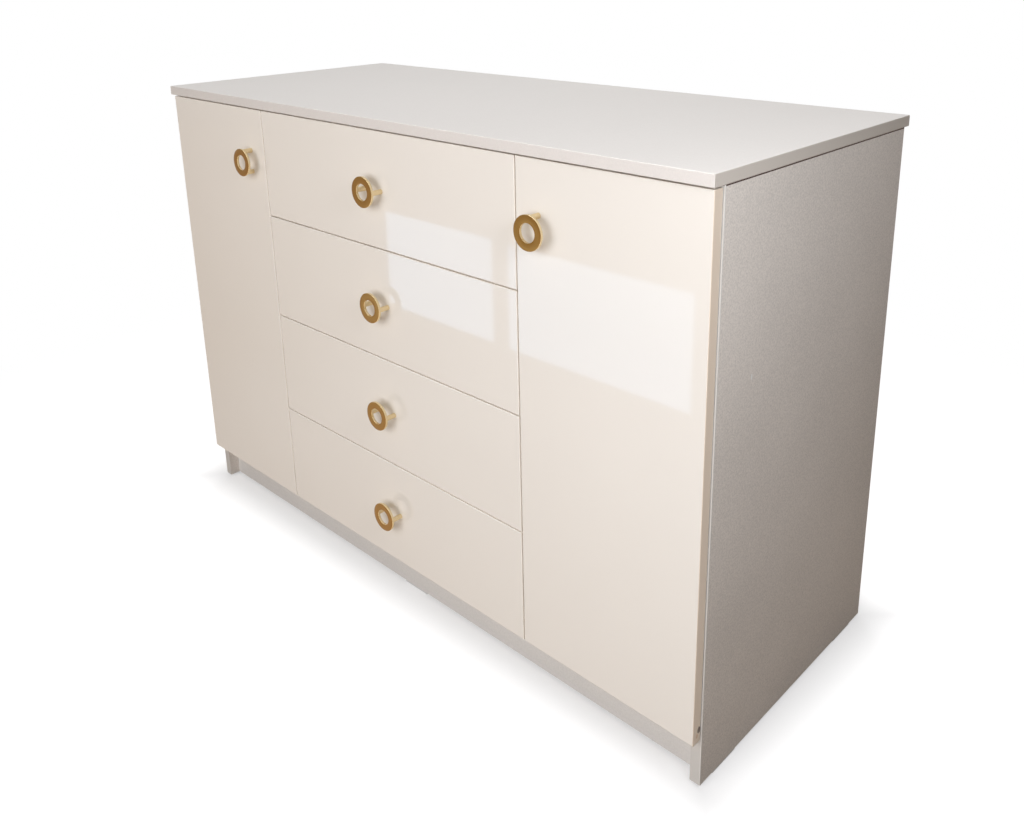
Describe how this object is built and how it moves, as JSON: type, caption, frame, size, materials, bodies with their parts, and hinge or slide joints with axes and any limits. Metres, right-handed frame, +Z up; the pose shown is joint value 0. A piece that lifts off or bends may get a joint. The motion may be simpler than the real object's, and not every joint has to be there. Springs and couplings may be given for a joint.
{
  "type": "sideboard",
  "caption": "Flat-pack sideboard with a hinged door each side of a stack of drawers, ring handles, a flat top and a recessed plinth.",
  "frame": {"origin": "on the floor, midway between the ends and midway between the handles' faces and the top's rear edge", "axes": "+X to the right seen from the front, +Y to the back, +Z up"},
  "size_m": [1.2, 0.517, 0.83],
  "materials": {
    "top_melamine": "matte",
    "side_melamine": "fine orange-peel",
    "inner_melamine": "matte",
    "plinth_melamine": "matte",
    "hardboard": "lacquered white face",
    "front_gloss": "high gloss",
    "handle_brass": "brushed satin",
    "glide_plastic": "moulded",
    "bumper_felt": "white felt",
    "zinc_casting": "as cast",
    "hinge_nickel": "nickel plated",
    "zinc_steel": "zinc plated"
  },
  "bodies": {
    "carcass": {"top_panel": "top_melamine", "side_left": "side_melamine", "side_right": "side_melamine", "partition_left": "inner_melamine", "partition_right": "inner_melamine", "bottom_panel": "inner_melamine", "plinth_front": "plinth_melamine", "plinth_rear": "plinth_melamine", "back_panel": "hardboard", "shelves_left": "inner_melamine", "shelves_right": "inner_melamine", "shelf_pins": "zinc_steel", "glides": "glide_plastic", "cam_locks": "zinc_casting", "bumpers": "bumper_felt", "hinge_plates": "zinc_casting", "hinge_arms": "hinge_nickel", "slide_cabinet_members": "zinc_steel"},
    "door_left": {"door_left_panel": "front_gloss", "door_left_handle": "handle_brass", "door_left_cups": "hinge_nickel"},
    "door_right": {"door_right_panel": "front_gloss", "door_right_handle": "handle_brass", "door_right_cups": "hinge_nickel"},
    "drawer_1": {"drawer_1_front": "front_gloss", "drawer_1_box_sides": "inner_melamine", "drawer_1_box_back": "inner_melamine", "drawer_1_bottom": "hardboard", "drawer_1_handle": "handle_brass", "drawer_1_slide_inner": "zinc_steel"},
    "slide_1": {"drawer_1_slide_middle": "zinc_steel"},
    "drawer_2": {"drawer_2_front": "front_gloss", "drawer_2_box_sides": "inner_melamine", "drawer_2_box_back": "inner_melamine", "drawer_2_bottom": "hardboard", "drawer_2_handle": "handle_brass", "drawer_2_slide_inner": "zinc_steel"},
    "slide_2": {"drawer_2_slide_middle": "zinc_steel"},
    "drawer_3": {"drawer_3_front": "front_gloss", "drawer_3_box_sides": "inner_melamine", "drawer_3_box_back": "inner_melamine", "drawer_3_bottom": "hardboard", "drawer_3_handle": "handle_brass", "drawer_3_slide_inner": "zinc_steel"},
    "slide_3": {"drawer_3_slide_middle": "zinc_steel"},
    "drawer_4": {"drawer_4_front": "front_gloss", "drawer_4_box_sides": "inner_melamine", "drawer_4_box_back": "inner_melamine", "drawer_4_bottom": "hardboard", "drawer_4_handle": "handle_brass", "drawer_4_slide_inner": "zinc_steel"},
    "slide_4": {"drawer_4_slide_middle": "zinc_steel"}
  },
  "joints": [
    {"name": "door_left_hinge", "type": "hinge", "parent": "carcass", "child": "door_left", "pos_m": [-0.597, -0.2205, 0.445], "axis": [0, 0, -1], "range_deg": [0, 110]},
    {"name": "door_right_hinge", "type": "hinge", "parent": "carcass", "child": "door_right", "pos_m": [0.597, -0.2205, 0.445], "axis": [0, 0, 1], "range_deg": [0, 110]},
    {"name": "drawer_1_travel", "type": "slide", "parent": "carcass", "child": "drawer_1", "axis": [0, -1, 0], "range_m": [0, 0.38]},
    {"name": "slide_1_travel", "type": "slide", "parent": "carcass", "child": "slide_1", "axis": [0, -1, 0], "range_m": [0, 0.19]},
    {"name": "drawer_2_travel", "type": "slide", "parent": "carcass", "child": "drawer_2", "axis": [0, -1, 0], "range_m": [0, 0.38]},
    {"name": "slide_2_travel", "type": "slide", "parent": "carcass", "child": "slide_2", "axis": [0, -1, 0], "range_m": [0, 0.19]},
    {"name": "drawer_3_travel", "type": "slide", "parent": "carcass", "child": "drawer_3", "axis": [0, -1, 0], "range_m": [0, 0.38]},
    {"name": "slide_3_travel", "type": "slide", "parent": "carcass", "child": "slide_3", "axis": [0, -1, 0], "range_m": [0, 0.19]},
    {"name": "drawer_4_travel", "type": "slide", "parent": "carcass", "child": "drawer_4", "axis": [0, -1, 0], "range_m": [0, 0.38]},
    {"name": "slide_4_travel", "type": "slide", "parent": "carcass", "child": "slide_4", "axis": [0, -1, 0], "range_m": [0, 0.19]}
  ],
  "couplings": [
    {"joint": "slide_1_travel", "follows": "drawer_1_travel", "ratio": 0.5},
    {"joint": "slide_2_travel", "follows": "drawer_2_travel", "ratio": 0.5},
    {"joint": "slide_3_travel", "follows": "drawer_3_travel", "ratio": 0.5},
    {"joint": "slide_4_travel", "follows": "drawer_4_travel", "ratio": 0.5}
  ]
}
